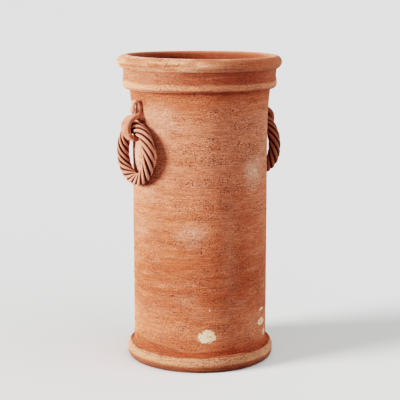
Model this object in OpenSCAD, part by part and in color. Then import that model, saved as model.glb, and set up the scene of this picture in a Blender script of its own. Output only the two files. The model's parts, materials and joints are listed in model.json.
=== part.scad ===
// Tall terracotta pot: a plain thrown wall on a base slab, with a foot roll,
// a collar band and a rolled rim. Two clay hooks on opposite sides each hold
// a ring of twisted clay coils, which hangs down and can be lifted outward.
// The origin is the middle of the underside, +Z is up, and the hooks lie on
// the X axis. All sizes are in millimetres.

/* [Wall] */
// Overall height of the pot
pot_h = 500; // [460:5:560]
// Outer radius of the plain wall
wall_r = 110; // [100:1:112]
// Thickness of the wall
wall_t = 12; // [9:0.5:15]
// How far the wall flares outward under the collar
flare = 4.2; // [2:0.1:6]
// Height over which the flare dies away
flare_reach = 30; // [20:1:45]

/* [Base and foot] */
// Thickness of the base slab
base_t = 16; // [12:1:20]
// Radius of the drain hole
drain_r = 12; // [6:0.5:20]
// Height of the foot roll
foot_h = 25; // [20:1:30]
// How far the foot roll stands out from the wall
foot_out = 11.5; // [9:0.5:14]
// Width of the round part of the foot roll, seen in section
foot_round = 6.3; // [4:0.1:8]
// Height of the hollow fillet between the foot roll and the wall
cove_h = 9; // [6:0.5:12]
// Width of that fillet at the foot roll
cove_w = 2.4; // [1.5:0.1:2.6]

/* [Collar and rim] */
// Height of the collar band
collar_h = 32; // [28:1:36]
// Outer radius of the collar band
collar_r = 125.4; // [122:0.2:128]
// How far the collar's side is hollowed
collar_hollow = 1.2; // [0:0.1:2]
// Radius of the collar's rounded lower edge
collar_edge_r = 7; // [4:0.5:8]
// Height of the rolled rim
rim_h = 21; // [20:1:23]
// Outer radius of the rolled rim
rim_r = 134; // [132:0.5:138]
// Width of the roll, from inside to outside
rim_w = 25; // [24:0.5:27]

/* [Rings] */
// Radius of the rope's outer surface
rope_r = 10.2; // [9:0.1:10.4]
// Radius of the ring along the middle of the rope
ring_r = 41.3; // [40:0.1:44]
// Number of clay coils twisted together
coils = 6; // [6]
// Turns that the coils make round the rope
turns = 3; // [2:1:4]
// Depth of the grooves between the coils
groove = 2.4; // [1:0.1:3]
// Height of the swing axis above the underside of the pot
swing_z = 388.7; // [380:0.1:392]
// Gap between the hanging ring and the wall
ring_gap = 0.7; // [0.5:0.1:2]

/* [Hooks] */
// Thickness of the strap
strap_t = 7.7; // [6:0.1:8]
// Width of the strap where it passes round the ring
strap_w = 20.5; // [14:0.5:21]
// Width of the strap at its scrolled end
scroll_w = 12; // [9:0.5:14]
// Inner radius of the strap where the ring sits
cradle_r = 12.2; // [12.2:0.1:13.5]
// Radius of the bead that ends the scroll
bead_r = 5.5; // [5:0.1:6]
// Height from the swing axis to the top of the scroll
scroll_rise = 44.7; // [44:0.1:47]

/* [Hidden] */

terracotta = [0.78, 0.47, 0.33];
pale_clay = [0.86, 0.63, 0.48];
dark_clay = [0.66, 0.36, 0.24];

$fn = 96;
rim_z = pot_h - rim_h;             // underside of the rolled rim
collar_z = rim_z - collar_h;       // underside of the collar band
neck_r = wall_r + flare;           // wall radius inside the collar
mouth_r = neck_r - wall_t;         // inner radius at the mouth
floor_r = wall_r - wall_t;         // inner radius at the floor
cove_z = foot_h + cove_h;          // top of the foot roll's fillet
wall_rows = 30;                    // rows of the wall's outline
contact_depth = 2;                 // how far a hook reaches in before it is trimmed

ring_x = wall_r + 0.6 + ring_gap + rope_r;   // distance of the ring from the pot's axis
ring_z = swing_z - ring_r;                   // height of the ring's centre
ring_steps = 60;                             // sections along each coil
lobe_steps = 4;                              // facets across each coil
coil_angle = 360 / coils;                    // angle each coil takes in the rope's section

cradle_x = ring_x + 1.0;           // middle of the strap's round part
cradle_z = swing_z + 0.4;
belly_r = cradle_r + strap_t / 2;  // middle line of the strap round the ring
back_x = wall_r + 5.6;             // middle line of the strap on the wall
tail_from = -105;                  // angle at which the tail ends under the ring
belly_to = 85;                     // angle at which the strap turns up the wall
scroll_bend = 5.2;                 // radius of the scroll's middle line
scroll_t = 0.85;                   // thickness of the scroll over that of the strap
scroll_z = swing_z + scroll_rise - scroll_bend - strap_t * scroll_t / 2;

// Points along an arc, n steps from angle a0 to angle a1
function arc(c, r, a0, a1, n) =
    [for (i = [0:n]) let (a = a0 + (a1 - a0) * i / n) c + r * [cos(a), sin(a)]];

// Outer radius of the wall at height z
function wall_r_at(z) =
    wall_r + flare * exp(-pow(max(collar_z - z, 0) / flare_reach, 1.2));

// Outer outline of the wall from the foot roll's fillet up to the collar
wall_outline = [
    for (i = [0:wall_rows])
        let (z = cove_z + (collar_z - cove_z) * i / wall_rows)
        [i == 0 ? wall_r : wall_r_at(z), z]
];

// ---- Pot ----

module base_slab() {
    color(terracotta)
    difference() {
        cylinder(r = wall_r, h = base_t);
        translate([0, 0, -1])
            cylinder(r = drain_r, h = base_t + 2);
    }
}

module wall() {
    color(terracotta)
    rotate_extrude()
        polygon(concat(
            [[floor_r, base_t], [wall_r, base_t]],
            wall_outline,
            [[neck_r, rim_z], [mouth_r, rim_z], [floor_r, collar_z - 4 * flare_reach]]
        ));
}

// The foot roll: round from the floor to its top, then a hollow fillet that
// runs out on the wall
module foot_roll() {
    foot_c = wall_r + foot_out - foot_round;
    round_steps = 20;
    cove_steps = 8;
    color(pale_clay)
    rotate_extrude()
        polygon(concat(
            [[wall_r, 0]],
            [for (i = [0:round_steps])
                let (t = 180 * i / round_steps - 90)
                [foot_c + foot_round * cos(t), foot_h / 2 * (1 + sin(t))]],
            [for (i = [0:cove_steps])
                let (t = 90 * i / cove_steps)
                [wall_r + cove_w * (1 - sin(t)), foot_h + cove_h * (1 - cos(t))]]
        ));
}

// The collar band: a slightly hollow side above a rounded lower edge
module collar_band() {
    hollow_z = collar_z + 2 * collar_edge_r;
    steps = 8;
    color(terracotta)
    rotate_extrude()
        polygon(concat(
            [[neck_r, collar_z]],
            arc([collar_r - collar_edge_r, collar_z + collar_edge_r], collar_edge_r, -90, 0, 8),
            [for (i = [0:steps])
                let (u = i / steps)
                [collar_r - collar_hollow * sin(180 * u), hollow_z + (rim_z - hollow_z) * u]],
            [[neck_r, rim_z]]
        ));
}

// The rolled rim: round outside and over the top, sloping in to the wall
module rim_roll() {
    outer_r = rim_h / 2;
    inner_r = rim_w / 2 - 1;
    color(pale_clay)
    rotate_extrude()
        polygon(concat(
            [[mouth_r, rim_z], [collar_r, rim_z]],
            arc([rim_r - outer_r, pot_h - outer_r], outer_r, -60, 90, 14),
            arc([rim_r - rim_w + inner_r, pot_h - inner_r], inner_r, 90, 190, 9)
        ));
}

// ---- Hooks ----

// Middle line of the strap, seen from the side: tail, belly, neck and scroll
neck_start = [cradle_x, cradle_z] + belly_r * [cos(belly_to), sin(belly_to)];
neck_bend = (neck_start[0] - back_x) / (1 - cos(belly_to));
neck_c = neck_start + neck_bend * [cos(belly_to), sin(belly_to)];
scroll_c = [back_x + scroll_bend, scroll_z];
bead_c = scroll_c + [scroll_bend - 1, -7];
spine = concat(
    arc([cradle_x, cradle_z], belly_r, tail_from, belly_to, 26),
    arc(neck_c, neck_bend, 180 + belly_to - 12, 180, 7),
    arc(scroll_c, scroll_bend, 180, 0, 10),
    [bead_c]
);
last = len(spine) - 1;

// Half the strap's thickness at point i of the middle line: thin at the tail,
// full round the ring, a little thinner in the scroll
function half_t(i) =
    let (u = i / last)
    strap_t / 2 * min(1, 0.5 + 4 * u, 1 - (1 - scroll_t) * (u - 0.6) / 0.4);

// Unit normal of the middle line at point i
function spine_normal(i) =
    let (d = spine[min(i + 1, last)] - spine[max(i - 1, 0)])
    [-d[1], d[0]] / norm(d);

// The strap from the side, with a flat pad that meets the wall
module hook_side() {
    polygon(concat(
        [for (i = [0:last]) spine[i] + half_t(i) * spine_normal(i)],
        [for (i = [last:-1:0]) spine[i] - half_t(i) * spine_normal(i)]
    ));
    translate([wall_r - contact_depth, neck_c[1] - 3])
        square([back_x - wall_r + contact_depth, scroll_z - neck_c[1] + 6]);
}

// The strap from the front: widest round the ring, narrow at the scroll
module hook_front() {
    low = cradle_z - belly_r - strap_t;
    high = swing_z + scroll_rise + 1;
    half = [
        [strap_w / 2 - 2.5, low], [strap_w / 2, cradle_z - 6], [strap_w / 2, cradle_z + 7],
        [scroll_w / 2 + 1, neck_c[1] + 4], [scroll_w / 2, scroll_z], [scroll_w / 2 - 1, high]
    ];
    polygon(concat(half, [for (i = [5:-1:0]) [-half[i][0], half[i][1]]]));
}

// One hook on the +X side, trimmed to sit on the wall
module hook() {
    depth = 2 * strap_w;
    color(terracotta)
    difference() {
        union() {
            intersection() {
                rotate([90, 0, 0])
                    linear_extrude(height = depth, center = true) hook_side();
                rotate([90, 0, 90])
                    linear_extrude(height = cradle_x + belly_r + strap_t) hook_front();
            }
            translate([bead_c[0], 0, bead_c[1]])
                sphere(r = bead_r);
        }
        rotate_extrude()
            polygon(concat([[0, cove_z]], wall_outline, [[0, collar_z]]));
    }
}

module left_hook() {
    rotate([0, 0, 180]) hook();
}

module right_hook() {
    hook();
}

// ---- Rings ----

// A point of the +X ring: t is the angle round the ring from its top, a the
// angle in the rope's section and r the distance from the rope's middle
function rope_point(t, a, r) = [
    ring_x + r * sin(a),
    (ring_r + r * cos(a)) * sin(t),
    ring_z + (ring_r + r * cos(a)) * cos(t)
];

// Distance of a coil's surface from the rope's middle, u from 0 to 1 across it
function lobe_r(u) = rope_r - groove * (1 - sqrt(max(0, 1 - pow(2 * u - 1, 2))));

// One section of coil k: the rope's middle, then the points across the coil
function coil_section(k, i) =
    let (t = 360 * i / ring_steps, a0 = coil_angle * k - turns * t)
    concat(
        [rope_point(t, 0, 0)],
        [for (j = [0:lobe_steps])
            let (u = j / lobe_steps)
            rope_point(t, a0 + coil_angle * u, lobe_r(u))]
    );

// Coil k of the +X ring: a closed loop. Both of its sides are split into
// triangles along the same diagonals, so they match the sides next to them
module coil(k) {
    n = lobe_steps + 2;
    points = [for (i = [0:ring_steps - 1]) each coil_section(k, i)];
    faces = [
        for (i = [0:ring_steps - 1])
            let (p = i * n, q = ((i + 1) % ring_steps) * n)
            each concat(
                [for (j = [0:n - 2]) each [[p + j, q + j, q + j + 1], [p + j, q + j + 1, p + j + 1]]],
                [[p + n - 1, q + n - 1, p], [q + n - 1, q, p]]
            )
    ];
    color(k % 2 == 0 ? terracotta : dark_clay)
    polyhedron(points, faces, convexity = 6);
}

module left_coil(k) {
    rotate([0, 0, 180]) coil(k);
}

base_slab();
wall();
foot_roll();
collar_band();
rim_roll();
left_hook();
right_hook();
for (k = [1:6]) {
    left_coil(k);
    coil(k);
}
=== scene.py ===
"""Looks of a tall terracotta pot with two twisted ring handles.

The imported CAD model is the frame: each piece made here stands for one CAD node
and rides on that node's body. Lengths are in metres and angles in degrees.
"""
import json
import math

import bmesh
import bpy
import numpy as np
from mathutils import Matrix, Vector, noise


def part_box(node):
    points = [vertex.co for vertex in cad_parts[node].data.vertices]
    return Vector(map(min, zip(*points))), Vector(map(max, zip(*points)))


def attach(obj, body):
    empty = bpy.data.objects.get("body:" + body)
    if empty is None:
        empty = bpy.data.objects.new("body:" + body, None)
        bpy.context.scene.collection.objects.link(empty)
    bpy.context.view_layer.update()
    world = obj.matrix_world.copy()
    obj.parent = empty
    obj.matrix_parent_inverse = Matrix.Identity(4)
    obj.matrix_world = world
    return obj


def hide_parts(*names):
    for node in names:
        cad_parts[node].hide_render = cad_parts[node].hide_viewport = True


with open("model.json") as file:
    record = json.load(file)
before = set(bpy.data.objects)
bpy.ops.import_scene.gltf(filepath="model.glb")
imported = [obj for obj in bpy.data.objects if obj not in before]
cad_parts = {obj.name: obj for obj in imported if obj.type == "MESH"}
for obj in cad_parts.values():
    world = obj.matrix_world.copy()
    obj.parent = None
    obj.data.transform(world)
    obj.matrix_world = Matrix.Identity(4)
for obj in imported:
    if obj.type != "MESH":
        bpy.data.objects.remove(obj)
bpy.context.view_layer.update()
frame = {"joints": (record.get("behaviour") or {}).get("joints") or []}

MM = 0.001
SEED = 7

# ---- Sizes taken from the frame ----

SLAB_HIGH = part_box("base_slab")[1]
FOOT_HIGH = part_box("foot_roll")[1]
COLLAR_LOW, COLLAR_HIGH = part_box("collar_band")
RIM_LOW, RIM_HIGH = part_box("rim_roll")
WALL_R = SLAB_HIGH.x
NECK_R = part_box("wall")[1].x
FLOOR_Z = SLAB_HIGH.z
COVE_Z = FOOT_HIGH.z
COLLAR_Z = COLLAR_LOW.z
RIM_Z = RIM_LOW.z
POT_H = RIM_HIGH.z
FOOT_R = FOOT_HIGH.x
COLLAR_R = COLLAR_HIGH.x
RIM_R = RIM_HIGH.x
SWING = Vector(next(j for j in frame["joints"] if j["name"] == "right_ring_swing")["pos_m"])

# ---- Sizes of the turned parts, as in the CAD source ----

WALL_T = 12 * MM
LEAN = 0.8 * MM
LEAN_ANGLE = math.radians(147)
FLARE_REACH = 30 * MM
DRAIN_R = 12 * MM
FOOT_H = 25 * MM
FOOT_ROUND = 6.3 * MM
COVE_W = 2.4 * MM
COLLAR_EDGE_R = 7 * MM
COLLAR_HOLLOW = 1.2 * MM
RIM_W = 25 * MM

# ---- Sizes of the rings and hooks, as in the CAD source ----

ROPE_R = 10.2 * MM
RING_R = 41.3 * MM
COILS = 6
TURNS = 3
RING_Z = SWING.z - RING_R
STRAP_T = 7.7 * MM
CRADLE_R = 12.2 * MM
SCROLL_RISE = 44.7 * MM


# ---- Camera, lights and floor ----

CAMERA_AZIMUTH = -32.8
CAMERA_DISTANCE = 1.9154
CAMERA_HEIGHT = 0.6075
CAMERA_PITCH = 10.27
LENS_MM = 105.7

KEY_AZIMUTH = -102
KEY_ELEVATION = 11
KEY_SOFTNESS = 24
KEY_STRENGTH = 7.9
KEY_COLOUR = (1.07, 1.0, 0.99)
FILL_AZIMUTH = 28
FILL_ELEVATION = 22
FILL_SOFTNESS = 80
FILL_STRENGTH = 0.85
FILL_COLOUR = (0.97, 1.0, 1.0)
SKY_BELOW = 0.40
SKY_LOW = 0.54
SKY_HIGH = 0.47
SKY_COLOUR = (1.0, 0.98, 0.94)
SKY_FRONT = 42
SKY_LEAN = 0.95
FLOOR_HALF = 60
FLOOR_COLOUR = (0.84, 0.88, 0.89)
BACKDROP_COLOUR = (0.76, 0.80, 0.81)


def direction(azimuth, elevation):
    """Unit vector from the pot towards a place round it; azimuth 0 is -Y and 90 is +X."""
    a = math.radians(azimuth)
    e = math.radians(elevation)
    return Vector((math.sin(a) * math.cos(e), -math.cos(a) * math.cos(e), math.sin(e)))


def link(obj):
    bpy.context.scene.collection.objects.link(obj)
    return obj


def make_camera():
    data = bpy.data.cameras.new("camera")
    data.lens = LENS_MM
    data.clip_end = 200
    camera = link(bpy.data.objects.new("camera", data))
    camera.location = direction(CAMERA_AZIMUTH, 0) * CAMERA_DISTANCE
    camera.location.z = CAMERA_HEIGHT
    looking = -direction(CAMERA_AZIMUTH, CAMERA_PITCH)
    camera.rotation_euler = looking.to_track_quat("-Z", "Y").to_euler()
    bpy.context.scene.camera = camera


def make_sun(name, azimuth, elevation, softness, strength, colour):
    data = bpy.data.lights.new(name, "SUN")
    data.energy = strength
    data.angle = math.radians(softness)
    data.color = colour
    sun = link(bpy.data.objects.new(name, data))
    towards = -direction(azimuth, elevation)
    sun.rotation_euler = towards.to_track_quat("-Z", "Y").to_euler()


def make_lights():
    make_sun("key", KEY_AZIMUTH, KEY_ELEVATION, KEY_SOFTNESS, KEY_STRENGTH, KEY_COLOUR)
    make_sun("fill", FILL_AZIMUTH, FILL_ELEVATION, FILL_SOFTNESS, FILL_STRENGTH, FILL_COLOUR)
    make_sky()


def make_sky():
    """Soft light from all round, strongest near the horizon and on the SKY_FRONT side. The
    camera sees a plain backdrop in the floor's tone instead."""
    world = bpy.data.worlds.new("studio")
    world.use_nodes = True
    tree = world.node_tree
    tree.nodes.clear()
    toward = tree.nodes.new("ShaderNodeTexCoord")
    parts = tree.nodes.new("ShaderNodeSeparateXYZ")
    above = tree.nodes.new("ShaderNodeMapRange")
    above.inputs["From Min"].default_value = -1
    levels = tree.nodes.new("ShaderNodeValToRGB")
    steps = levels.color_ramp.elements
    steps.new(0.48)
    steps.new(0.52)
    for step, level in zip(steps, (SKY_BELOW, SKY_BELOW, SKY_LOW, SKY_HIGH)):
        step.color = (*(level * part for part in SKY_COLOUR), 1)
    lean = tree.nodes.new("ShaderNodeVectorMath")
    lean.operation = "DOT_PRODUCT"
    lean.inputs[1].default_value = direction(SKY_FRONT, 0) * SKY_LEAN
    more = tree.nodes.new("ShaderNodeMath")
    more.inputs[1].default_value = 1
    light = tree.nodes.new("ShaderNodeBackground")
    seen = tree.nodes.new("ShaderNodeBackground")
    seen.inputs["Color"].default_value = (*BACKDROP_COLOUR, 1)
    path = tree.nodes.new("ShaderNodeLightPath")
    either = tree.nodes.new("ShaderNodeMixShader")
    output = tree.nodes.new("ShaderNodeOutputWorld")
    for start, end in (
        (toward.outputs["Generated"], parts.inputs[0]),
        (parts.outputs["Z"], above.inputs["Value"]),
        (above.outputs["Result"], levels.inputs["Fac"]),
        (levels.outputs["Color"], light.inputs["Color"]),
        (toward.outputs["Generated"], lean.inputs[0]),
        (lean.outputs["Value"], more.inputs[0]),
        (more.outputs[0], light.inputs["Strength"]),
        (path.outputs["Is Camera Ray"], either.inputs[0]),
        (light.outputs[0], either.inputs[1]),
        (seen.outputs[0], either.inputs[2]),
        (either.outputs[0], output.inputs["Surface"]),
    ):
        tree.links.new(start, end)
    bpy.context.scene.world = world


def make_floor():
    mesh = bpy.data.meshes.new("floor")
    corners = [(-FLOOR_HALF, -FLOOR_HALF, 0), (FLOOR_HALF, -FLOOR_HALF, 0),
               (FLOOR_HALF, FLOOR_HALF, 0), (-FLOOR_HALF, FLOOR_HALF, 0)]
    mesh.from_pydata(corners, [], [(0, 1, 2, 3)])
    floor = link(bpy.data.objects.new("floor", mesh))
    floor.location.z = -0.2 * MM
    floor.visible_diffuse = False
    paint = Nodes("floor_paint")
    paint.finish(colour=(*FLOOR_COLOUR, 1), roughness=0.9)
    mesh.materials.append(paint.material)


# ---- Smooth noise for shapes ----

def spline_weights(s):
    """Weights of the four lattice points round a place that is s of the way along a cell."""
    return (
        (1 - s) ** 3 / 6,
        (3 * s**3 - 6 * s**2 + 4) / 6,
        (-3 * s**3 + 3 * s**2 + 3 * s + 1) / 6,
        s**3 / 6,
    )


def turned_noise(angle, height, cells_round, cell_height, seed):
    """Smooth noise from about -1 to 1 on a turned surface, with no seam."""
    draws = np.random.default_rng(SEED * 1000 + seed)
    rows = int(np.ptp(height) / cell_height) + 5
    lattice = draws.uniform(-1.6, 1.6, (cells_round, rows))
    across = angle / (2 * np.pi) * cells_round
    up = (height - height.min()) / cell_height
    i = np.floor(across).astype(int)
    j = np.floor(up).astype(int)
    total = np.zeros_like(across)
    for di, wi in enumerate(spline_weights(across - i)):
        for dj, wj in enumerate(spline_weights(up - j)):
            total += wi * wj * lattice[(i + di) % cells_round, j + dj]
    return total


# ---- Turned parts ----

def arc(centre, radius, start, end, count=24):
    angles = np.radians(np.linspace(start, end, count))
    return np.stack([centre[0] + radius * np.cos(angles), centre[1] + radius * np.sin(angles)], 1)


def run_length(points):
    """Distance along the line of points, from its start to each point."""
    return np.concatenate([[0], np.cumsum(np.hypot(*np.diff(points, axis=0).T))])


def even(points, step):
    """The closed outline with its points an even step apart."""
    closed = np.vstack([points, points[:1]])
    along = run_length(closed)
    count = round(along[-1] / step)
    places = np.arange(count) / count * along[-1]
    return np.stack([np.interp(places, along, closed[:, k]) for k in (0, 1)], 1)


def soften(outline, passes):
    """Rounds the outline's corners a little, as wet clay is."""
    for _ in range(passes):
        outline = (np.roll(outline, 1, 0) + 2 * outline + np.roll(outline, -1, 0)) / 4
    return outline


def mesh_piece(name, vertices, faces):
    mesh = bpy.data.meshes.new(name)
    mesh.from_pydata(vertices.tolist(), [], faces.tolist())
    mesh.polygons.foreach_set("use_smooth", [True] * len(mesh.polygons))
    mesh.update()
    return link(bpy.data.objects.new(name, mesh))


def grid_faces(rows, columns):
    """Quads of a grid of points that is closed both ways, as on a torus."""
    i, j = np.meshgrid(np.arange(rows), np.arange(columns), indexing="ij")
    i2 = (i + 1) % rows
    j2 = (j + 1) % columns
    corners = [i * columns + j, i2 * columns + j, i2 * columns + j2, i * columns + j2]
    return np.stack(corners, -1).reshape(-1, 4)


def turn(name, outline, around, relief):
    """A closed turned piece. outline runs up the outside and down the inside, as (radius,
    height); relief(angle, radius, height) says how far each point stands proud."""
    ahead = np.roll(outline, -1, 0) - np.roll(outline, 1, 0)
    normal = np.stack([ahead[:, 1], -ahead[:, 0]], 1)
    normal /= np.linalg.norm(normal, axis=1, keepdims=True)
    angle = np.linspace(0, 2 * np.pi, around, endpoint=False)
    angle, radius = np.meshgrid(angle, outline[:, 0], indexing="ij")
    height = np.broadcast_to(outline[:, 1], radius.shape)
    proud = relief(angle, radius, height)
    r = radius + proud * normal[:, 0]
    z = height + proud * normal[:, 1]
    vertices = np.stack([r * np.cos(angle), r * np.sin(angle), z], -1).reshape(-1, 3)
    return mesh_piece(name, vertices, grid_faces(around, len(outline)))


def wall_radius(z):
    """Outer radius of the wall at height z: plain, with a flare under the collar."""
    below = np.maximum(COLLAR_Z - z, 0) / FLARE_REACH
    return WALL_R + (NECK_R - WALL_R) * np.exp(-below**1.2)


def step_in(value, start, end):
    """0 before start and 1 after end, with a smooth step between them."""
    share = np.clip((value - start) / (end - start), 0, 1)
    return share * share * (3 - 2 * share)


def throwing_marks(angle, height, seed):
    """Low ridges and hollows that the potter's fingers leave round the wall."""
    return (
        0.35 * MM * turned_noise(angle, height, 5, 60 * MM, seed)
        + 0.16 * MM * turned_noise(angle, height, 6, 9 * MM, seed + 1)
        + 0.07 * MM * turned_noise(angle, height, 14, 4 * MM, seed + 2)
    )


def make_wall():
    outside = np.linspace(COVE_Z, COLLAR_Z, 120)
    inside_corner = COLLAR_Z - 4 * FLARE_REACH
    floor_r = WALL_R - WALL_T
    outline = np.vstack([
        [(floor_r, FLOOR_Z), (WALL_R, FLOOR_Z)],
        np.stack([wall_radius(outside), outside], 1),
        [(NECK_R, RIM_Z), (NECK_R - WALL_T, RIM_Z), (floor_r, inside_corner)],
    ])
    outline = even(outline, 2.9 * MM)

    def relief(angle, radius, height):
        free = step_in(height, FLOOR_Z, FLOOR_Z + 6 * MM) * (1 - step_in(height, RIM_Z - 9 * MM, RIM_Z))
        inside = radius < (WALL_R - WALL_T / 2)
        marks = np.where(
            inside, 2.2 * throwing_marks(angle, height, 20), throwing_marks(angle, height, 10)
        )
        return free * marks

    return turn("pot_wall", outline, 288, relief)


def make_base():
    edge = 2 * MM
    outline = np.vstack([
        arc((DRAIN_R + edge, edge), edge, 180, 270, 6),
        [(WALL_R, 0), (WALL_R, FLOOR_Z)],
        arc((DRAIN_R + edge, FLOOR_Z - edge), edge, 90, 180, 6),
    ])
    outline = even(outline, 1.6 * MM)

    def relief(angle, radius, height):
        top = step_in(height, FLOOR_Z - MM, FLOOR_Z) * (radius > DRAIN_R + 4 * MM)
        clear = 1 - step_in(radius, WALL_R - WALL_T - 8 * MM, WALL_R - WALL_T)
        turns_per_metre = 110
        spiral = np.sin(2 * np.pi * radius * turns_per_metre + angle)
        return top * clear * 0.5 * MM * (spiral - 1)

    return turn("pot_base", outline, 256, relief)


def make_foot():
    centre = FOOT_R - FOOT_ROUND
    around = np.radians(np.linspace(-90, 90, 40))
    hollow = np.radians(np.linspace(0, 90, 14))
    outline = np.vstack([
        [(WALL_R - MM, 0)],
        np.stack([centre + FOOT_ROUND * np.cos(around), FOOT_H / 2 * (1 + np.sin(around))], 1),
        np.stack([
            WALL_R + COVE_W * (1 - np.sin(hollow)),
            FOOT_H + (COVE_Z - FOOT_H) * (1 - np.cos(hollow)),
        ], 1),
        [(WALL_R - MM, COVE_Z)],
    ])
    outline = even(outline, 0.8 * MM)

    def relief(angle, radius, height):
        free = step_in(height, 0, 4 * MM) * step_in(radius, WALL_R, WALL_R + 2 * MM)
        wavy = 0.35 * MM * turned_noise(angle, height, 9, 14 * MM, 31)
        lines = 0.13 * MM * turned_noise(angle, height, 7, 1.7 * MM, 32)
        return free * (wavy + lines)

    return turn("pot_foot", outline, 448, relief)


def make_collar():
    edge = COLLAR_EDGE_R
    hollow_z = COLLAR_Z + 2 * edge
    share = np.linspace(0, 1, 16)
    outline = np.vstack([
        [(NECK_R - MM, COLLAR_Z)],
        arc((COLLAR_R - edge, COLLAR_Z + edge), edge, -90, 0),
        np.stack([
            COLLAR_R - COLLAR_HOLLOW * np.sin(np.pi * share),
            hollow_z + (RIM_Z - hollow_z) * share,
        ], 1),
        [(COLLAR_R, RIM_Z + 2 * MM), (NECK_R - MM, RIM_Z + 2 * MM)],
    ])
    outline = even(outline, 0.9 * MM)

    def relief(angle, radius, height):
        free = step_in(radius, NECK_R, NECK_R + 3 * MM) * (1 - step_in(height, RIM_Z - 2 * MM, RIM_Z))
        wavy = 0.4 * MM * turned_noise(angle, height, 8, 16 * MM, 41)
        lines = 0.1 * MM * turned_noise(angle, height, 9, 2.2 * MM, 42)
        return free * (wavy + lines + LEAN * np.cos(angle - LEAN_ANGLE))

    return turn("pot_collar", outline, 448, relief)


def make_rim():
    outer = (POT_H - RIM_Z) / 2
    inner = RIM_W / 2 - MM
    mouth_r = NECK_R - WALL_T
    outline = np.vstack([
        [(mouth_r, RIM_Z), (COLLAR_R, RIM_Z)],
        arc((RIM_R - outer, POT_H - outer), outer, -60, 90),
        arc((RIM_R - RIM_W + inner, POT_H - inner), inner, 90, 190),
    ])
    outline = soften(even(outline, 0.9 * MM), 3)

    def relief(angle, radius, height):
        free = step_in(height, RIM_Z, RIM_Z + 4 * MM)
        wavy = 0.5 * MM * turned_noise(angle, height, 11, 16 * MM, 51)
        lines = 0.12 * MM * turned_noise(angle, height, 8, 2.4 * MM, 52)
        return free * (wavy + lines + LEAN * np.cos(angle - LEAN_ANGLE))

    return turn("pot_rim", outline, 448, relief)


# ---- Rings ----

STRAND_R = 3.5 * MM
STRAND_C = ROPE_R - STRAND_R
STRAND_SECTIONS = 300
STRAND_FACETS = 26
# Power of the strand's rounded section: 2 is a circle, and more is squarer
SQUARENESS = 2.1


def wander(places, waves, seed):
    """A smooth closed wander from about -1 to 1 along a strand."""
    draws = np.random.default_rng(SEED * 1000 + seed)
    total = np.zeros_like(places)
    for wave in range(1, waves + 1):
        total += draws.uniform(-1, 1) * np.sin(wave * places + draws.uniform(0, 2 * np.pi))
    return total / math.sqrt(waves)


def make_strand(side, k):
    """One coil of a ring: a flattened roll of clay that winds round the rope's middle."""
    seed = 100 + 10 * k + (5 if side == "left" else 0)
    along = np.linspace(0, 2 * np.pi, STRAND_SECTIONS, endpoint=False)
    middle = np.radians(360 / COILS * (k + 0.5)) - TURNS * along + 0.07 * wander(along, 5, seed)
    size = 1 + 0.06 * wander(along, 7, seed + 1)
    centre = STRAND_C + 0.15 * MM * wander(along, 6, seed + 2)
    face = np.linspace(0, 2 * np.pi, STRAND_FACETS, endpoint=False)

    def rounded(values):
        return np.sign(values) * np.abs(values) ** (2 / SQUARENESS)

    out = centre[:, None] + STRAND_R * size[:, None] * rounded(np.cos(face))[None]
    over = STRAND_R * size[:, None] * rounded(np.sin(face))[None]
    out = np.minimum(out, ROPE_R - 0.15 * MM)
    a = middle[:, None]
    across = out * np.sin(a) + over * np.cos(a)
    rise = out * np.cos(a) - over * np.sin(a)
    t = along[:, None]
    x = SWING.x + across
    y = (RING_R + rise) * np.sin(t)
    z = RING_Z + (RING_R + rise) * np.cos(t)
    if side == "left":
        x, y = -x, -y
    vertices = np.stack([x, y, z], -1).reshape(-1, 3)
    piece = mesh_piece(f"{side}_ring_strand_{k}", vertices, grid_faces(STRAND_SECTIONS, STRAND_FACETS))
    crest = np.hypot(across, rise) / ROPE_R
    layer = piece.data.attributes.new("crest", "FLOAT", "POINT")
    layer.data.foreach_set("value", crest.ravel().astype(np.float32))
    return piece


# ---- Hooks ----

STRAP_SECTIONS = 150
STRAP_FACETS = 40
STRAP_OFF_WALL = 5.6 * MM
SCROLL_BEND = 4.4 * MM
BELLY_FROM = -108
BELLY_TO = 85
BELLY_SAG = 0.07
TIP_ROUND = 2.5 * MM
PLUMP = {"left": 0.6 * MM, "right": 1.8 * MM}
# Along the strap from its tail to its bead: share of its length, and the value there
STRAP_HALF_WIDTH = [(0, 9.2 * MM), (0.12, 11 * MM), (0.5, 11 * MM),
                    (0.68, 7.2 * MM), (0.88, 5.6 * MM), (1, 2.4 * MM)]
# Factors on the thickness of the strap, the second for the right hook alone
STRAP_THICKNESS = [(0, 0.7), (0.08, 1.05), (0.6, 1.05), (0.8, 0.85), (1, 0.45)]
RIGHT_BULGE = [(0.2, 1), (0.4, 1.25), (0.6, 1)]
# Power of the strap's section, as for the strands
STRAP_SQUARENESS = [(0.5, 3.8), (0.7, 2.0)]


def polar(centre, radius, degrees):
    a = math.radians(degrees)
    return np.array([centre[0] + radius * math.cos(a), centre[1] + radius * math.sin(a)])


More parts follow.
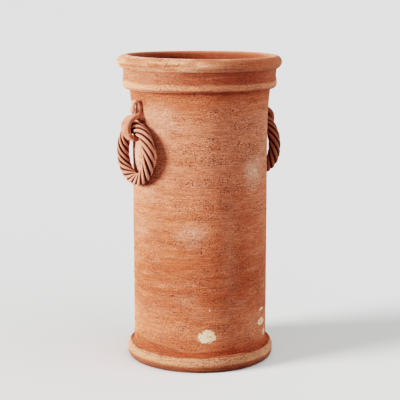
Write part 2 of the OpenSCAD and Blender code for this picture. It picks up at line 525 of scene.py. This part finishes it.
def hook_path(plump):
    """Middle line of the strap as (x, z) from its tail to its bead, and the middles of its
    neck, scroll and bead. plump swells the belly, as no two hooks are rolled alike."""
    cradle = np.array([SWING.x + MM, SWING.z + 0.4 * MM])
    belly_r = CRADLE_R + STRAP_T / 2 + plump
    back_x = WALL_R + STRAP_OFF_WALL
    start = polar(cradle, belly_r, BELLY_TO)
    neck_bend = (start[0] - back_x) / (1 - math.cos(math.radians(BELLY_TO)))
    neck = polar(cradle, belly_r + neck_bend, BELLY_TO)
    scroll_x = back_x + 1.7 * MM + SCROLL_BEND
    scroll_z = SWING.z + SCROLL_RISE - SCROLL_BEND - 0.85 * STRAP_T / 2
    scroll = np.array([scroll_x, scroll_z])
    bead = np.array([back_x + 11 * MM, scroll_z - 8.4 * MM])
    belly = arc(cradle, belly_r, BELLY_FROM, BELLY_TO, 80)
    under = belly[:, 1] < cradle[1]
    belly[under, 1] -= BELLY_SAG * (cradle[1] - belly[under, 1])
    path = np.vstack([
        belly,
        arc(neck, neck_bend, 180 + BELLY_TO - 4, 180, 30),
        arc(scroll, SCROLL_BEND, 170, 0, 40),
        [bead + np.array([0, 2 * MM])],
    ])
    return path, neck, scroll, bead


def profile(share, points):
    """The value at each share of the strap's length, from (share, value) points."""
    shares, values = zip(*points)
    return np.interp(share, shares, values)


def strap_mesh(side, path):
    """The strap alone: a rounded oblong section swept along its middle line."""
    along = run_length(path)
    places = np.linspace(0, along[-1], STRAP_SECTIONS)
    line = np.stack([np.interp(places, along, path[:, k]) for k in (0, 1)], 1)
    for _ in range(6):
        line[1:-1] = (line[:-2] + 2 * line[1:-1] + line[2:]) / 4
    ahead = np.gradient(line, axis=0)
    normal = np.stack([-ahead[:, 1], ahead[:, 0]], 1)
    normal /= np.linalg.norm(normal, axis=1, keepdims=True)

    share = places / along[-1]
    half_t = STRAP_T / 2 * profile(share, STRAP_THICKNESS)
    if side == "right":
        half_t = half_t * profile(share, RIGHT_BULGE)
    tip = np.sqrt(np.clip(1 - (1 - np.minimum(places / TIP_ROUND, 1)) ** 2, 0.02, 1))
    half_w = profile(share, STRAP_HALF_WIDTH) - (1 - tip) * TIP_ROUND
    half_t = half_t * (0.35 + 0.65 * tip)

    face = np.linspace(0, 2 * np.pi, STRAP_FACETS, endpoint=False)
    power = 2 / profile(share, STRAP_SQUARENESS)[:, None]
    flat = np.sign(np.cos(face)) * np.abs(np.cos(face)) ** power
    wide = np.sign(np.sin(face)) * np.abs(np.sin(face)) ** power
    x = line[:, :1] + normal[:, :1] * half_t[:, None] * flat
    z = line[:, 1:] + normal[:, 1:] * half_t[:, None] * flat
    y = half_w[:, None] * wide
    vertices = np.stack([x, y, z], -1).reshape(-1, 3)

    i, j = np.meshgrid(np.arange(STRAP_SECTIONS - 1), np.arange(STRAP_FACETS), indexing="ij")
    here = i * STRAP_FACETS
    above = here + STRAP_FACETS
    j2 = (j + 1) % STRAP_FACETS
    quads = np.stack([here + j, here + j2, above + j2, above + j], -1).reshape(-1, 4)
    last = (STRAP_SECTIONS - 1) * STRAP_FACETS
    caps = [list(range(STRAP_FACETS))[::-1], list(range(last, last + STRAP_FACETS))]
    mesh = bpy.data.meshes.new(f"{side}_hook_clay")
    mesh.from_pydata(vertices.tolist(), [], quads.tolist() + caps)
    return mesh


def make_hook(side):
    """Strap, bead and the two pads that hold the strap to the wall, as one skin of clay."""
    path, neck, scroll, bead = hook_path(PLUMP[side])
    mesh = strap_mesh(side, path)
    upper_pad = (WALL_R + 1.6 * MM, (neck[1] + scroll[1]) / 2 + MM)
    lower_pad = (WALL_R + 2.5 * MM, neck[1] - 9.5 * MM)
    for (x, z), radii in (
        (bead, (4.3, 5.2, 6.2)),
        (upper_pad, (3.6, 5, 8)),
        (lower_pad, (6.5, 9.5, 7.5)),
    ):
        add_lump(mesh, Vector((x, 0, z)), Vector(radii) * MM)
    if side == "left":
        mesh.transform(Matrix.Rotation(math.pi, 4, "Z"))
    hook = link(bpy.data.objects.new(mesh.name, mesh))
    melt(hook, 0.5 * MM, 4)
    roughen(hook, 0.35 * MM, 9 * MM, 61 if side == "left" else 62)
    return hook


def add_lump(mesh, centre, radii):
    """Adds an ellipsoid of clay to the mesh."""
    work = bmesh.new()
    work.from_mesh(mesh)
    place = Matrix.Translation(centre) @ Matrix.Diagonal((*radii, 1))
    bmesh.ops.create_icosphere(work, subdivisions=4, radius=1, matrix=place)
    work.to_mesh(mesh)
    work.free()


def melt(obj, voxel, passes):
    """Joins what overlaps into one skin of clay and smooths the joins."""
    remesh = obj.modifiers.new("join", "REMESH")
    remesh.mode = "VOXEL"
    remesh.voxel_size = voxel
    smooth = obj.modifiers.new("smooth", "SMOOTH")
    smooth.factor = 0.5
    smooth.iterations = passes
    apply_modifiers(obj)
    obj.data.polygons.foreach_set("use_smooth", [True] * len(obj.data.polygons))


def apply_modifiers(obj):
    evaluated = obj.evaluated_get(bpy.context.evaluated_depsgraph_get())
    mesh = bpy.data.meshes.new_from_object(evaluated)
    obj.modifiers.clear()
    obj.data = mesh


def roughen(obj, amount, grain, seed):
    """Pushes the surface in and out along its normals, as in hand-worked clay."""
    offset = Vector((seed, -seed, 2.0 * seed))
    moved = []
    for vertex in obj.data.vertices:
        broad = noise.noise(vertex.co / grain + offset)
        fine = noise.noise(vertex.co / (0.3 * grain) + offset)
        value = broad + 0.4 * fine
        moved.extend(vertex.co + vertex.normal * amount * value)
    obj.data.vertices.foreach_set("co", moved)
    obj.data.update()


# ---- Materials ----

RED = (0.35, 0.098, 0.045)
ORANGE = (0.43, 0.140, 0.073)
WARM = (0.46, 0.163, 0.092)
PALE = (0.49, 0.200, 0.127)
CREAM = (0.62, 0.330, 0.215)
DUST = (0.66, 0.44, 0.36)
LIME = (0.68, 0.54, 0.39)
PIT_SHADE = (0.10, 0.042, 0.030)
COLLAR_FRONT = (0.285, 0.080, 0.043)
COLLAR_RIGHT = (0.35, 0.108, 0.058)
COLLAR_BEAD_WEAR_AND_HIGHLIGHT = (0.53, 0.222, 0.135)
RIM_PLAIN = (0.41, 0.138, 0.076)
RIM_PALE = (0.64, 0.345, 0.230)
RIM_INSIDE_SHADE = (0.24, 0.066, 0.032)
FOOT_UNDER_SHADE = (0.10, 0.030, 0.015)
FOOT_SIDE_SHADE = (0.24, 0.075, 0.034)
FOOT_CREASE_RED_AND_SHADE = (0.30, 0.072, 0.030)
FOOT_WORN = (0.48, 0.240, 0.150)
HOOK_DARK = (0.42, 0.145, 0.090)
HOOK_LIGHT = (0.52, 0.230, 0.160)
HOOK_SCROLL_PALE_AND_LIT = (0.60, 0.31, 0.225)
HOOK_RIGHT_SHADE = (0.23, 0.075, 0.038)
STRAND_DARK = (0.31, 0.100, 0.057)
STRAND_LIGHT = (0.40, 0.150, 0.095)
STRAND_RIGHT_SHADE = (0.24, 0.085, 0.044)
STRAND_WORN_AND_HIGHLIGHT = (0.62, 0.330, 0.245)
STRAND_GROOVE_SHADE = (0.06, 0.018, 0.011)


class Nodes:
    """One node material, with short calls for the nodes that make it up."""

    def __init__(self, name):
        self.material = bpy.data.materials.new(name)
        self.material.use_nodes = True
        self.tree = self.material.node_tree
        self.tree.nodes.clear()
        self.place = self.add("ShaderNodeTexCoord").outputs["Object"]

    def add(self, kind, values=None, **settings):
        node = self.tree.nodes.new(kind)
        for key, value in settings.items():
            setattr(node, key, value)
        for key, value in (values or {}).items():
            if isinstance(value, bpy.types.NodeSocket):
                self.tree.links.new(value, node.inputs[key])
            else:
                node.inputs[key].default_value = value
        return node

    def math(self, operation, a, b):
        return self.add("ShaderNodeMath", {0: a, 1: b}, operation=operation).outputs[0]

    def sway(self, value, amount):
        """Noise, which lies round 0.5, as a push of up to half the amount either way."""
        return self.math("MULTIPLY", self.math("SUBTRACT", value, 0.5), amount)

    def noise(self, round_mm, tall_mm, detail=2.0, roughness=0.5, seed=0.0):
        """Noise whose features are round_mm long round the pot and tall_mm high."""
        scale = (1000 / round_mm, 1000 / round_mm, 1000 / tall_mm)
        scaled = self.add("ShaderNodeVectorMath", {0: self.place, 1: scale}, operation="MULTIPLY")
        values = {"Vector": scaled.outputs[0], "W": seed, "Scale": 1.0}
        values.update({"Detail": detail, "Roughness": roughness})
        return self.add("ShaderNodeTexNoise", values, noise_dimensions="4D").outputs["Fac"]

    def band(self, value, start, end, low=0.0, high=1.0):
        """low before start, high after end, with a smooth step between."""
        return self.add(
            "ShaderNodeMapRange",
            {"Value": value, "From Min": start, "From Max": end, "To Min": low, "To Max": high},
            interpolation_type="SMOOTHSTEP",
        ).outputs["Result"]

    def mix(self, share, a, b):
        """Colour a where share is 0, and b where it is 1."""
        a, b = (c if isinstance(c, bpy.types.NodeSocket) else (*c, 1) for c in (a, b))
        return self.add("ShaderNodeMix", {0: share, 6: a, 7: b}, data_type="RGBA").outputs[2]

    def shade(self, colour, factor):
        """The colour made lighter or darker by a factor."""
        return self.add(
            "ShaderNodeMix", {0: 1.0, 6: colour, 7: factor}, data_type="RGBA", blend_type="MULTIPLY"
        ).outputs[2]

    def length(self, node):
        vector = node.outputs[0]
        return self.add("ShaderNodeVectorMath", {0: vector}, operation="LENGTH").outputs["Value"]

    def across(self):
        return self.add("ShaderNodeSeparateXYZ", {0: self.place}).outputs["X"]

    def radius(self):
        """Distance from the pot's axis."""
        flat = self.add("ShaderNodeVectorMath", {0: self.place, 1: (1, 1, 0)}, operation="MULTIPLY")
        return self.length(flat)

    def height(self):
        return self.add("ShaderNodeSeparateXYZ", {0: self.place}).outputs["Z"]

    def spot(self, angle, radius, height, half_width, half_height):
        """Distance from a spot on the pot's surface, 1 at the spot's edge."""
        a = math.radians(angle)
        local = self.add(
            "ShaderNodeMapping",
            {
                "Vector": self.place,
                "Location": (radius * math.cos(a), radius * math.sin(a), height),
                "Rotation": (0, 0, a),
                "Scale": (half_width, half_width, half_height),
            },
            vector_type="TEXTURE",
        )
        return self.length(local)

    def finish(self, colour, roughness, bump=None, sheen=0.0):
        values = {"Base Color": colour, "Roughness": roughness, "Specular IOR Level": 0.3}
        shader = self.add("ShaderNodeBsdfPrincipled", values)
        if sheen:
            shader.inputs["Diffuse Roughness"].default_value = 1.0
            shader.inputs["Sheen Weight"].default_value = sheen
            shader.inputs["Sheen Roughness"].default_value = 0.5
        if bump is not None:
            relief = self.add("ShaderNodeBump", {"Height": bump, "Strength": 1.0, "Distance": MM})
            self.tree.links.new(relief.outputs[0], shader.inputs["Normal"])
        output = self.add("ShaderNodeOutputMaterial")
        self.tree.links.new(shader.outputs[0], output.inputs["Surface"])
        return self.material


def clay_detail(nodes, colour, seed, pits=1.0, streaks=1.0):
    """Adds what all the turned clay has: streaks from the potter's sponge, grog and pits.
    Returns the colour and the bump height in mm."""
    streak = nodes.noise(100, 2.6, detail=4, roughness=0.65, seed=seed)
    fine = nodes.noise(16, 0.8, detail=3, roughness=0.7, seed=seed + 1)
    grain = nodes.noise(2.1, 0.75, detail=2, roughness=0.8, seed=seed + 2)
    where = nodes.noise(60, 16, detail=3, seed=seed + 3)
    colour = nodes.mix(nodes.band(streak, 0.50, 0.70, 0, 0.8 * streaks), colour, RED)
    colour = nodes.mix(nodes.band(streak, 0.50, 0.32, 0, 0.5 * streaks), colour, PALE)
    swing = 0.45 * streaks
    colour = nodes.shade(colour, nodes.band(fine, 0.25, 0.75, 1.0 + swing, 1.0 - swing))
    rough = nodes.band(where, 0.35, 0.62, 2.6, 4.0)
    light = nodes.math("MULTIPLY", nodes.math("SUBTRACT", 0.5, grain), rough)
    colour = nodes.shade(colour, nodes.math("ADD", light, 1.0))
    hole = nodes.noise(2.8, 1.2, detail=1, roughness=0.4, seed=seed + 4)
    often = nodes.band(where, 0.35, 0.65, 0.665, 0.575)
    open_pit = nodes.band(nodes.math("SUBTRACT", hole, often), 0.0, 0.04)
    # The pits are painted near black: painted shade inside the small holes.
    colour = nodes.mix(nodes.math("MULTIPLY", open_pit, 0.9 * pits), colour, PIT_SHADE)
    bump = nodes.math("MULTIPLY", streak, 0.35)
    bump = nodes.math("ADD", bump, nodes.math("MULTIPLY", fine, -0.35))
    bump = nodes.math("ADD", bump, nodes.math("MULTIPLY", grain, -0.4))
    bump = nodes.math("SUBTRACT", bump, nodes.math("MULTIPLY", open_pit, 0.5 * pits))
    return colour, bump


def haze(nodes, colour, spots, strength, seed):
    """Powdery salt blooms: pale and broken up by the grain."""
    breakup = nodes.noise(3.0, 2.2, detail=3, roughness=0.8, seed=seed)
    edge = nodes.noise(16, 10, detail=3, seed=seed + 1)
    for angle, height, half_width, half_height, amount in spots:
        far = nodes.spot(angle, WALL_R, height * MM, half_width * MM, half_height * MM)
        far = nodes.math("ADD", far, nodes.sway(edge, 1.6))
        near = nodes.band(far, 1.3, 0.0)
        share = nodes.math("MULTIPLY", near, nodes.band(breakup, 0.42, 0.58, 0.12, 1.0))
        colour = nodes.mix(nodes.math("MULTIPLY", share, amount * strength), colour, DUST)
    return colour


def stain(nodes, colour, spots, seed):
    """Places on the wall made redder and darker."""
    edge = nodes.noise(40, 8, detail=3, seed=seed)
    for angle, height, half_width, half_height, amount in spots:
        far = nodes.spot(angle, WALL_R, height * MM, half_width * MM, half_height * MM)
        far = nodes.math("ADD", far, nodes.sway(edge, 1.6))
        colour = nodes.mix(nodes.band(far, 1.3, 0.0, 0, amount), colour, RED)
    return colour


def lime(nodes, colour, spots, seed):
    """Crisp cream patches of lime, worn through here and there."""
    edge = nodes.noise(6, 3, detail=4, roughness=0.75, seed=seed)
    scratch = nodes.noise(6, 2.6, detail=2, roughness=0.7, seed=seed + 1)
    for angle, height, half_width, half_height in spots:
        far = nodes.spot(angle, WALL_R, height * MM, half_width * MM, half_height * MM)
        far = nodes.math("ADD", far, nodes.sway(edge, 1.5))
        worn = nodes.band(scratch, 0.60, 0.56, 0.1, 0.95)
        share = nodes.math("MULTIPLY", nodes.band(far, 1.08, 0.92), worn)
        colour = nodes.mix(share, colour, LIME)
    return colour


# Powdery blooms on the wall: angle; height, half width and half height in mm; amount
HAZE_SPOTS = [
    (-72, 318, 26, 32, 0.95),
    (-129, 225, 32, 24, 0.5),
    (166, 342, 28, 42, 0.85),
    (-170, 290, 40, 24, 0.35),
    (180, 222, 26, 30, 0.3),
    (-158, 405, 46, 30, 0.5),
    (-134, 118, 20, 13, 0.3),
    (-126, 92, 14, 12, 0.2),
    (-85, 108, 14, 9, 0.35),
    (-74, 62, 34, 22, 0.15),
    (-97, 185, 18, 130, 0.22),
]
# Redder places on the wall, given in the same way
STAIN_SPOTS = [
    (-140, 48, 60, 12, 0.7),
    (-100, 125, 60, 20, 0.35),
    (-140, 168, 70, 14, 0.5),
    (-128, 423, 36, 8, 0.7),
    (-80, 250, 26, 14, 0.4),
    (-60, 140, 30, 40, 0.4),
    (-126, 85, 26, 34, 0.35),
    (-54, 95, 10, 34, 0.4),
    (30, 280, 70, 30, 0.5),
    (100, 190, 60, 40, 0.5),
]
# Patches of lime on the wall, given in the same way but for the amount
LIME_SPOTS = [
    (-117.2, 58, 14.5, 10.5),
    (-57, 66, 12, 6),
    (-57, 87, 8, 2.5),
    (-50, 45, 4, 6),
    (-114.8, 102, 0.9, 3),
]


# Colour bands on the wall, most left by the firing, the lowest partly painted shade by the cove: height
# in mm, colour
WALL_BANDS = [
    # Darkest at the foot of the wall by the cove: partly redder clay, partly painted shade in the
    # crease.
    (33, (0.28, 0.072, 0.032)),
    (42, ORANGE),
    (52, WARM),
    (78, WARM),
    (100, (0.38, 0.122, 0.065)),
    (122, (0.36, 0.107, 0.053)),
    (155, (0.35, 0.103, 0.050)),
    (180, (0.39, 0.122, 0.062)),
    (205, (0.41, 0.134, 0.070)),
    (250, WARM),
    (295, (0.47, 0.175, 0.105)),
    (330, PALE),
    (365, PALE),
    (400, PALE),
    (425, WARM),
    (447, RED),
]


def wall_clay():
    nodes = Nodes("terracotta_wall")
    low = WALL_BANDS[0][0]
    high = WALL_BANDS[-1][0]
    drift = nodes.noise(150, 50, detail=3, seed=1)
    z = nodes.math("ADD", nodes.height(), nodes.sway(drift, 40 * MM))
    level = nodes.add("ShaderNodeMapRange", {"Value": z, "From Min": low * MM, "From Max": high * MM})
    ramp = nodes.add("ShaderNodeValToRGB", {"Fac": level.outputs["Result"]})
    elements = ramp.color_ramp.elements
    elements[1].position = 1
    elements[1].color = (*WALL_BANDS[-1][1], 1)
    elements[0].color = (*WALL_BANDS[0][1], 1)
    for height, colour in WALL_BANDS[1:-1]:
        elements.new((height - low) / (high - low)).color = (*colour, 1)
    broad = nodes.noise(45, 12, detail=3, seed=2)
    colour = nodes.mix(nodes.band(broad, 0.50, 0.70, 0, 0.6), ramp.outputs[0], RED)
    colour = nodes.mix(nodes.band(broad, 0.50, 0.30, 0, 0.6), colour, PALE)
    colour = stain(nodes, colour, STAIN_SPOTS, 20)
    colour, bump = clay_detail(nodes, colour, 10)
    colour = haze(nodes, colour, HAZE_SPOTS, 0.9, 30)
    colour = lime(nodes, colour, LIME_SPOTS, 40)
    return nodes.finish(colour, 0.9, bump, sheen=0.05)


def collar_clay():
    nodes = Nodes("terracotta_collar")
    z = nodes.height()
    wobble = nodes.noise(40, 12, detail=3, seed=3)
    z = nodes.math("ADD", z, nodes.sway(wobble, 8 * MM))
    # The lower bead is paler: partly pale, worn clay, partly a painted highlight along its top.
    bead = nodes.band(z, COLLAR_Z + 15 * MM, COLLAR_Z + 10 * MM)
    foot = nodes.band(z, COLLAR_Z + 2 * MM, COLLAR_Z + 6 * MM)
    # More pale clay towards the left, the side the key light falls on: painted light.
    left = nodes.band(nodes.across(), -75 * MM, -125 * MM, 0, 0.7)
    right = nodes.band(nodes.across(), 0, 70 * MM)
    colour = nodes.mix(right, COLLAR_FRONT, COLLAR_RIGHT)
    colour = nodes.mix(left, colour, PALE)
    pale = nodes.mix(left, COLLAR_BEAD_WEAR_AND_HIGHLIGHT, CREAM)
    colour = nodes.mix(nodes.math("MULTIPLY", bead, foot), colour, pale)
    colour, bump = clay_detail(nodes, colour, 50, pits=0.8, streaks=0.8)
    return nodes.finish(colour, 0.9, bump, sheen=0.05)


def rim_clay():
    nodes = Nodes("terracotta_rim")
    stripes = nodes.noise(120, 5, detail=3, seed=5)
    blotch = nodes.noise(30, 9, detail=3, seed=6)
    stripes = nodes.math("MULTIPLY", nodes.band(stripes, 0.38, 0.66), 0.5)
    blotch = nodes.math("MULTIPLY", nodes.band(blotch, 0.45, 0.65), 0.5)
    # More of the cream towards the left, the lit side: real cream streaks, strengthened there as
    # painted light.
    left = nodes.band(nodes.across(), 20 * MM, -100 * MM, 0.15, 1.2)
    share = nodes.math("MULTIPLY", nodes.math("ADD", stripes, blotch), left)
    colour = nodes.mix(share, RIM_PLAIN, RIM_PALE)
    # Dark inside the mouth: painted shade.
    inner = nodes.band(nodes.radius(), NECK_R + 3 * MM, NECK_R - 4 * MM)
    colour = nodes.mix(inner, colour, RIM_INSIDE_SHADE)
    colour, bump = clay_detail(nodes, colour, 60, pits=0.7, streaks=0.4)
    return nodes.finish(colour, 0.9, bump, sheen=0.05)


def foot_clay():
    nodes = Nodes("terracotta_foot")
    z = nodes.height()
    wobble = nodes.noise(30, 10, detail=3, seed=7)
    z = nodes.math("ADD", z, nodes.sway(wobble, 3 * MM))
    above = nodes.band(z, 9 * MM, 15 * MM)
    below = nodes.band(z, FOOT_H, FOOT_H - 1.5 * MM)
    top = nodes.math("MULTIPLY", above, below)
    # Darker down towards the floor: painted shade under the foot.
    low = nodes.mix(nodes.band(z, 2 * MM, 11 * MM), FOOT_UNDER_SHADE, FOOT_SIDE_SHADE)
    # Dark in the cove between foot and wall: partly redder clay, partly painted shade in the crease.
    low = nodes.mix(nodes.band(z, FOOT_H - 5 * MM, FOOT_H - MM), low, FOOT_CREASE_RED_AND_SHADE)
    colour = nodes.mix(top, low, FOOT_WORN)
    colour, bump = clay_detail(nodes, colour, 70, pits=0.8, streaks=0.8)
    return nodes.finish(colour, 0.9, bump, sheen=0.05)


def hand_clay(name, seed, dark, light):
    """Clay that was rolled and smoothed by hand: no streaks round the pot."""
    nodes = Nodes(name)
    blotch = nodes.noise(12, 12, detail=3, seed=seed)
    grain = nodes.noise(1.5, 1.5, detail=2, roughness=0.8, seed=seed + 1)
    colour = nodes.mix(nodes.band(blotch, 0.35, 0.65), dark, light)
    colour = nodes.shade(colour, nodes.band(grain, 0.25, 0.75, 1.5, 0.5))
    swell = nodes.math("MULTIPLY", blotch, 0.5)
    bump = nodes.math("SUBTRACT", swell, nodes.math("MULTIPLY", grain, 0.4))
    return nodes, colour, bump


def hook_clay():
    nodes, colour, bump = hand_clay("terracotta_hook", 80, HOOK_DARK, HOOK_LIGHT)
    # Paler scroll, bead and top of the neck on the left hook: partly paler, dustier clay, partly
    # painted light where the key light barely reaches.
    near = nodes.spot(180, WALL_R + 13 * MM, SWING.z + 33 * MM, 11 * MM, 13 * MM)
    colour = nodes.mix(nodes.band(near, 1, 0.8), colour, HOOK_SCROLL_PALE_AND_LIT)
    # The right hook is darker and browner: painted shade, as it stands on the pot's shaded side.
    colour = nodes.mix(nodes.band(nodes.across(), -MM, MM, 0, 0.75), colour, HOOK_RIGHT_SHADE)
    return nodes.finish(colour, 0.85, bump, sheen=0.05)


def strand_clay():
    nodes, colour, bump = hand_clay("terracotta_strand", 90, STRAND_DARK, STRAND_LIGHT)
    crest = nodes.add("ShaderNodeAttribute", attribute_name="crest").outputs["Fac"]
    # Paler crests: partly wear on the raised strands, partly a painted highlight, strongest on the left
    # ring, which faces the key light.
    worn = nodes.band(crest, 0.91, 0.98)
    worn = nodes.math("MULTIPLY", worn, nodes.band(nodes.across(), 40 * MM, -40 * MM, 0.1, 0.6))
    # The right ring is darker: painted shade, as it hangs on the pot's shaded side.
    colour = nodes.mix(nodes.band(nodes.across(), -MM, MM, 0, 0.6), colour, STRAND_RIGHT_SHADE)
    colour = nodes.mix(worn, colour, STRAND_WORN_AND_HIGHLIGHT)
    # Dark between the strands: painted shade in the grooves.
    colour = nodes.mix(nodes.band(crest, 0.93, 0.82), colour, STRAND_GROOVE_SHADE)
    return nodes.finish(colour, 0.85, bump, sheen=0.05)


# ---- Putting the pot together ----

def fit(piece, node, body, material):
    """The piece stands for the CAD node, rides on its body and gets its finish."""
    piece.data.materials.append(material)
    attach(piece, body)
    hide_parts(node)


def make_pot():
    wall = wall_clay()
    fit(make_base(), "base_slab", "pot", wall)
    fit(make_wall(), "wall", "pot", wall)
    fit(make_foot(), "foot_roll", "pot", foot_clay())
    fit(make_collar(), "collar_band", "pot", collar_clay())
    fit(make_rim(), "rim_roll", "pot", rim_clay())
    hooks = hook_clay()
    strands = strand_clay()
    for side in ("left", "right"):
        fit(make_hook(side), f"{side}_hook", "pot", hooks)
        for k in range(1, COILS + 1):
            node = f"{side}_ring_coil_{k}"
            fit(make_strand(side, k), node, f"{side}_ring", strands)


make_camera()
make_lights()
make_floor()
make_pot()
bpy.context.scene.view_settings.view_transform = "Filmic"
bpy.context.scene.view_settings.look = "Very High Contrast"
